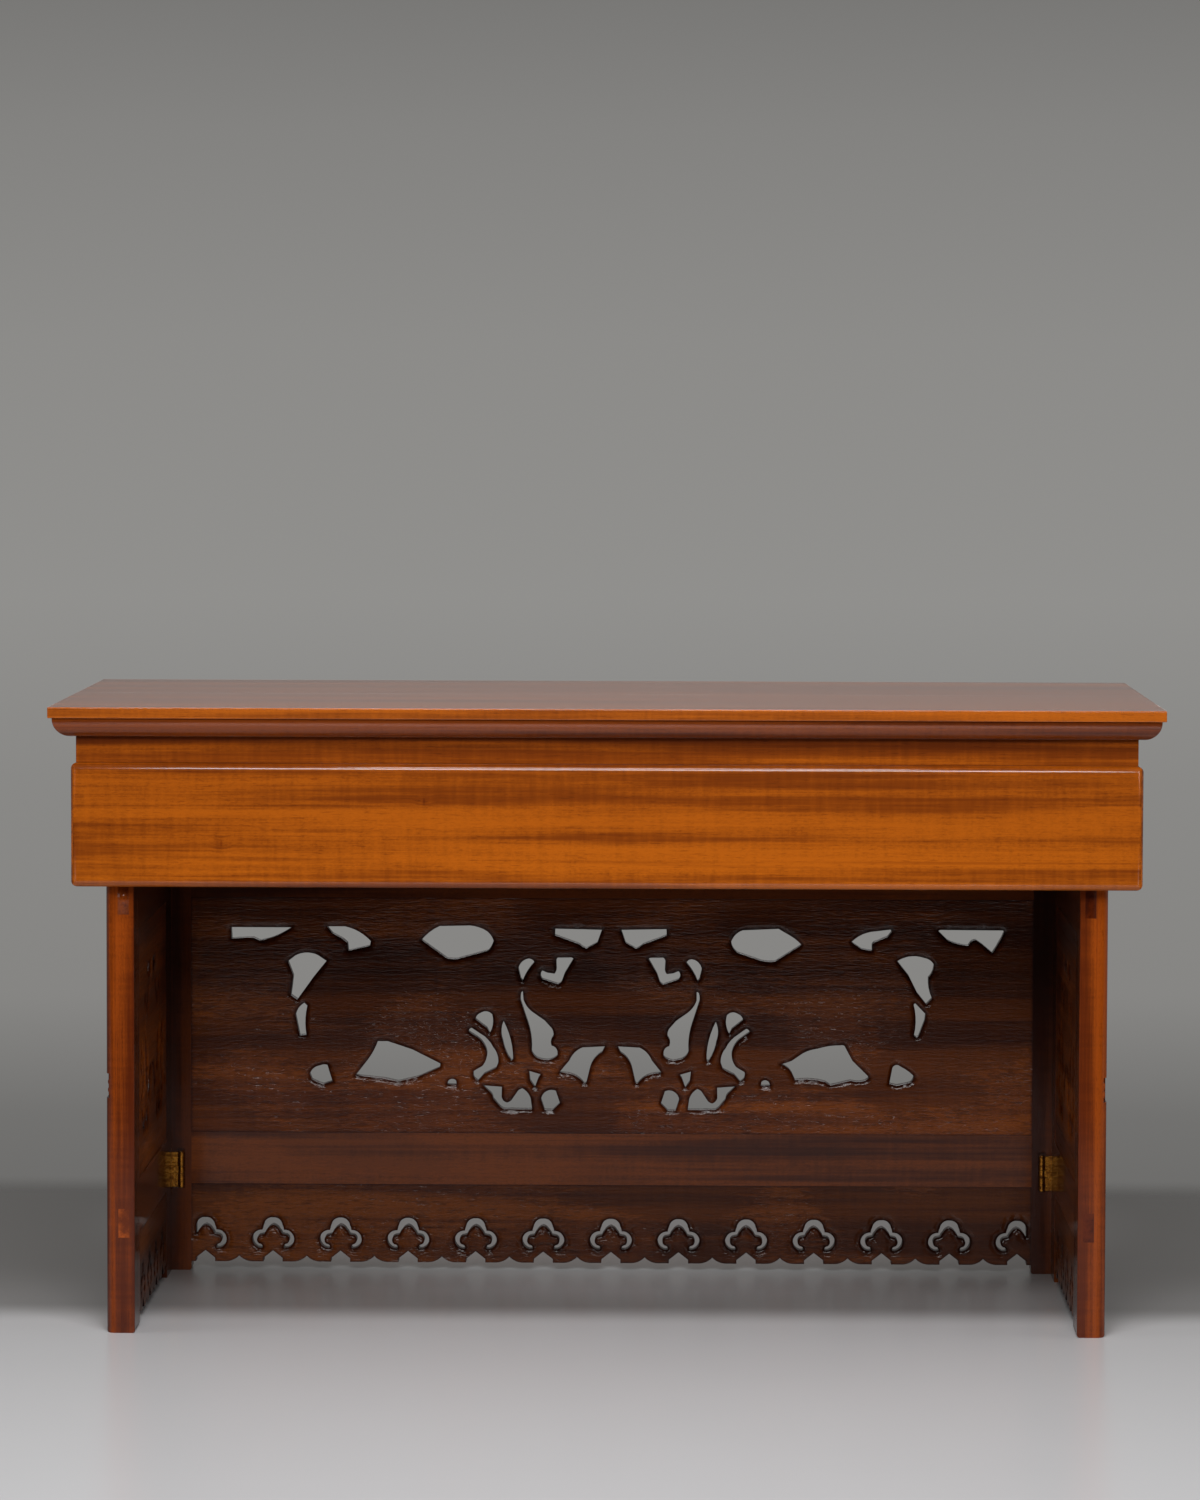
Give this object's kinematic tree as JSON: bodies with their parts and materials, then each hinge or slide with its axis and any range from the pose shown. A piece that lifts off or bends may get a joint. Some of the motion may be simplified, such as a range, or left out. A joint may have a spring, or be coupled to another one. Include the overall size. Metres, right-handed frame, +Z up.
{
  "type": "low folding table",
  "caption": "Low wooden table whose lid-like top lifts off a folding three-part carved base of pierced and scalloped panels hinged at the corners.",
  "frame": {"origin": "on the floor under the middle of the table", "axes": "+X along the length, towards the right end as seen from the open side; +Y from the open side towards the long carved panel; +Z up"},
  "size_m": [0.7, 0.35, 0.4],
  "materials": {
    "top_wood": "glossy brown lacquer",
    "apron_wood": "glossy orange-brown lacquer",
    "frame_wood": "satin dark reddish-brown lacquer",
    "carved_wood": "satin brown lacquer over chisel marks",
    "hinge_brass": "aged plain brass",
    "pin_brass": "dull brass"
  },
  "bodies": {
    "front_panel": {"front_stile_left": "frame_wood", "front_stile_right": "frame_wood", "front_top_rail": "frame_wood", "front_lower_rail": "frame_wood", "front_carved_panel": "carved_wood", "front_scalloped_apron": "carved_wood", "front_hinge_leaves": "hinge_brass", "front_hinge_screws": "pin_brass"},
    "left_side": {"left_near_stile": "frame_wood", "left_far_stile": "frame_wood", "left_top_rail": "frame_wood", "left_lower_rail": "frame_wood", "left_carved_panel": "carved_wood", "left_scalloped_apron": "carved_wood", "left_hinge_leaves": "hinge_brass", "left_hinge_pins": "pin_brass", "left_hinge_screws": "pin_brass"},
    "right_side": {"right_near_stile": "frame_wood", "right_far_stile": "frame_wood", "right_top_rail": "frame_wood", "right_lower_rail": "frame_wood", "right_carved_panel": "carved_wood", "right_scalloped_apron": "carved_wood", "right_hinge_leaves": "hinge_brass", "right_hinge_pins": "pin_brass", "right_hinge_screws": "pin_brass"},
    "top": {"plank_near": "top_wood", "plank_far": "top_wood", "moulding_near": "apron_wood", "moulding_far": "apron_wood", "moulding_left": "apron_wood", "moulding_right": "apron_wood", "waist_near": "apron_wood", "waist_far": "apron_wood", "waist_left": "apron_wood", "waist_right": "apron_wood", "apron_near": "apron_wood", "apron_far": "apron_wood", "apron_left": "apron_wood", "apron_right": "apron_wood", "batten_left": "apron_wood", "batten_right": "apron_wood"}
  },
  "joints": [
    {"name": "left_panel_fold", "type": "hinge", "parent": "front_panel", "child": "left_side", "pos_m": [-0.2925, 0.12385, 0], "axis": [0, 0, 1], "range_deg": [0, 90]},
    {"name": "right_panel_fold", "type": "hinge", "parent": "front_panel", "child": "right_side", "pos_m": [0.2925, 0.12385, 0], "axis": [0, 0, -1], "range_deg": [0, 90]},
    {"name": "top_lift", "type": "slide", "parent": "front_panel", "child": "top", "axis": [0, 0, 1], "range_m": [0, 0.12]}
  ]
}
